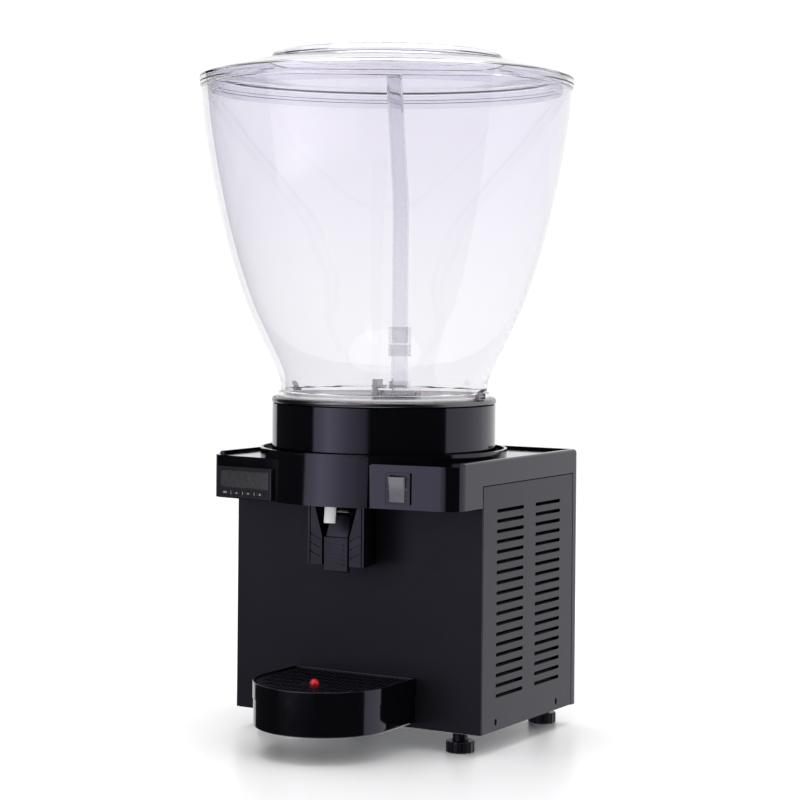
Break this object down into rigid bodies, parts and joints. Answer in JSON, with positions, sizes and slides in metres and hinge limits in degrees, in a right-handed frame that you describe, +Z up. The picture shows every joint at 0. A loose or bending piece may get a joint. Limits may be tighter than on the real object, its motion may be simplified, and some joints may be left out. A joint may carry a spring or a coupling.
{
  "type": "drink fountain dispenser",
  "caption": "Countertop refrigerated drink fountain with a clear lidded bowl, spray tube, black cabinet, push-lever tap, controller, rocker switch and drip tray.",
  "frame": {"origin": "on the counter under the axis of the bowl", "axes": "+Z up, -Y the front with the tap and the drip tray, +X to the right seen from the front"},
  "size_m": [0.3992, 0.3992, 0.727],
  "materials": {
    "cover_gloss": "high gloss moulded black",
    "panel_satin": "satin black powder coat",
    "side_satin": "fine satin black coat",
    "galvanised": "zinc coated sheet",
    "stainless": "brushed stainless",
    "latch_steel": "satin spring steel",
    "clear_bowl": "clear moulded polycarbonate",
    "clear_tube": "slightly milky clear plastic",
    "silicone_white": "translucent white silicone",
    "grey_plastic": "grey moulded plastic",
    "black_plastic": "fine textured black plastic",
    "controller_black": "smooth black plastic",
    "display_tint": "smoked window",
    "display_bar": "unlit display bars",
    "key_print": "soft key with a printed symbol",
    "rocker_light": "light translucent rocker",
    "float_red": "red plastic",
    "tray_gloss": "gloss black moulding",
    "foam": "rigid foam",
    "copper": "bare copper",
    "aluminium_fin": "bare fins",
    "compressor_paint": "black enamel",
    "rubber_black": "black rubber",
    "motor_steel": "grey enamel",
    "spring_steel": "bright wire",
    "ferrite": "moulded ferrite magnet"
  },
  "bodies": {
    "cabinet": {"base_pan": "galvanised", "front_panel": "panel_satin", "side_panel_left": "side_satin", "side_panel_right": "side_satin", "rear_panel": "side_satin", "rear_screws": "spring_steel", "cable_gland": "black_plastic", "top_cover": "cover_gloss", "controller_housing": "controller_black", "controller_window": "display_tint", "controller_digits": "display_bar", "switch_housing": "controller_black", "collar": "cover_gloss", "insulation": "foam", "cold_plate": "stainless", "evaporator_coil": "copper", "bowl_gasket": "silicone_white", "latch_bases": "latch_steel", "latch_pins": "latch_steel", "pump_housing": "clear_tube", "pump_clip": "grey_plastic", "pump_motor": "motor_steel", "tap_housing": "black_plastic", "outlet_tube": "silicone_white", "tap_lever_pin": "stainless", "tap_spring": "spring_steel", "tray_bracket": "galvanised", "compressor": "compressor_paint", "compressor_mounts": "rubber_black", "start_relay_box": "black_plastic", "condenser_fins": "aluminium_fin", "condenser_tubes": "copper", "fan_shroud": "galvanised", "fan_motor": "motor_steel", "filter_drier": "copper", "refrigerant_lines": "copper"},
    "bowl": {"bowl": "clear_bowl"},
    "lid": {"lid": "clear_bowl"},
    "latch_left": {"latch_lever_left": "latch_steel"},
    "latch_right": {"latch_lever_right": "latch_steel"},
    "tap_lever": {"tap_lever": "black_plastic"},
    "rocker": {"switch_rocker": "rocker_light"},
    "key_1": {"controller_key_1": "key_print"},
    "key_2": {"controller_key_2": "key_print"},
    "key_3": {"controller_key_3": "key_print"},
    "key_4": {"controller_key_4": "key_print"},
    "impeller": {"pump_impeller": "grey_plastic"},
    "drive_magnet": {"drive_magnet": "ferrite"},
    "fan": {"fan_blades": "black_plastic"},
    "fountain_tube": {"fountain_tube_lower": "clear_tube", "tube_sleeve": "clear_tube", "fountain_tube_upper": "clear_tube"},
    "tray": {"drip_tray": "tray_gloss"},
    "grid": {"drip_grid": "black_plastic"},
    "float": {"tray_float": "float_red"},
    "foot_front_left": {"foot_front_left": "black_plastic"},
    "foot_front_right": {"foot_front_right": "black_plastic"},
    "foot_back_left": {"foot_back_left": "black_plastic"},
    "foot_back_right": {"foot_back_right": "black_plastic"}
  },
  "joints": [
    {"name": "bowl_lift", "type": "slide", "parent": "cabinet", "child": "bowl", "axis": [0, 0, 1], "range_m": [0, 0.12]},
    {"name": "lid_lift", "type": "slide", "parent": "bowl", "child": "lid", "axis": [0, 0, 1], "range_m": [0, 0.12]},
    {"name": "latch_left_turn", "type": "hinge", "parent": "cabinet", "child": "latch_left", "pos_m": [-0.1168, 0, 0.3636], "axis": [0, -1, 0], "range_deg": [0, 60]},
    {"name": "latch_right_turn", "type": "hinge", "parent": "cabinet", "child": "latch_right", "pos_m": [0.1168, 0, 0.3636], "axis": [0, 1, 0], "range_deg": [0, 60]},
    {"name": "tap_lever_push", "type": "hinge", "parent": "cabinet", "child": "tap_lever", "pos_m": [0, -0.078, 0.243], "axis": [1, 0, 0], "range_deg": [0, 15], "stiffness_Nm_per_rad": 0.3, "springref_deg": -17.19, "deforming": ["tap_spring"]},
    {"name": "rocker_tilt", "type": "hinge", "parent": "cabinet", "child": "rocker", "pos_m": [0.08676, -0.11678, 0.2744], "axis": [0.9936, 0.1132, 0], "range_deg": [-18, 0]},
    {"name": "key_1_press", "type": "slide", "parent": "cabinet", "child": "key_1", "axis": [0.1132, 0.9936, 0], "range_m": [0, 0.0006], "stiffness_N_per_m": 400, "springref_m": -0.0002},
    {"name": "key_2_press", "type": "slide", "parent": "cabinet", "child": "key_2", "axis": [0.1132, 0.9936, 0], "range_m": [0, 0.0006], "stiffness_N_per_m": 400, "springref_m": -0.0002},
    {"name": "key_3_press", "type": "slide", "parent": "cabinet", "child": "key_3", "axis": [0.1132, 0.9936, 0], "range_m": [0, 0.0006], "stiffness_N_per_m": 400, "springref_m": -0.0002},
    {"name": "key_4_press", "type": "slide", "parent": "cabinet", "child": "key_4", "axis": [0.1132, 0.9936, 0], "range_m": [0, 0.0006], "stiffness_N_per_m": 400, "springref_m": -0.0002},
    {"name": "magnet_spin", "type": "hinge", "parent": "cabinet", "child": "drive_magnet", "pos_m": [0.0187, 0, 0.34], "axis": [0, 0, 1], "continuous": true},
    {"name": "impeller_spin", "type": "hinge", "parent": "cabinet", "child": "impeller", "pos_m": [0.0187, 0, 0.365], "axis": [0, 0, 1], "continuous": true},
    {"name": "fountain_tube_lift", "type": "slide", "parent": "cabinet", "child": "fountain_tube", "axis": [0, 0, 1], "range_m": [0, 0.009]},
    {"name": "fan_spin", "type": "hinge", "parent": "cabinet", "child": "fan", "pos_m": [0.06, 0.052, 0.112], "axis": [1, 0, 0], "continuous": true},
    {"name": "tray_pull", "type": "slide", "parent": "cabinet", "child": "tray", "axis": [0, -1, 0], "range_m": [0, 0.12]},
    {"name": "grid_lift", "type": "slide", "parent": "tray", "child": "grid", "axis": [0, 0, 1], "range_m": [0, 0.05]},
    {"name": "float_rise", "type": "slide", "parent": "tray", "child": "float", "axis": [0, 0, 1], "range_m": [0, 0.012]},
    {"name": "foot_front_left_screw", "type": "slide", "parent": "cabinet", "child": "foot_front_left", "axis": [0, 0, -1], "range_m": [0, 0.008]},
    {"name": "foot_front_right_screw", "type": "slide", "parent": "cabinet", "child": "foot_front_right", "axis": [0, 0, -1], "range_m": [0, 0.008]},
    {"name": "foot_back_left_screw", "type": "slide", "parent": "cabinet", "child": "foot_back_left", "axis": [0, 0, -1], "range_m": [0, 0.008]},
    {"name": "foot_back_right_screw", "type": "slide", "parent": "cabinet", "child": "foot_back_right", "axis": [0, 0, -1], "range_m": [0, 0.008]}
  ],
  "couplings": [
    {"joint": "impeller_spin", "follows": "magnet_spin", "ratio": 1}
  ]
}
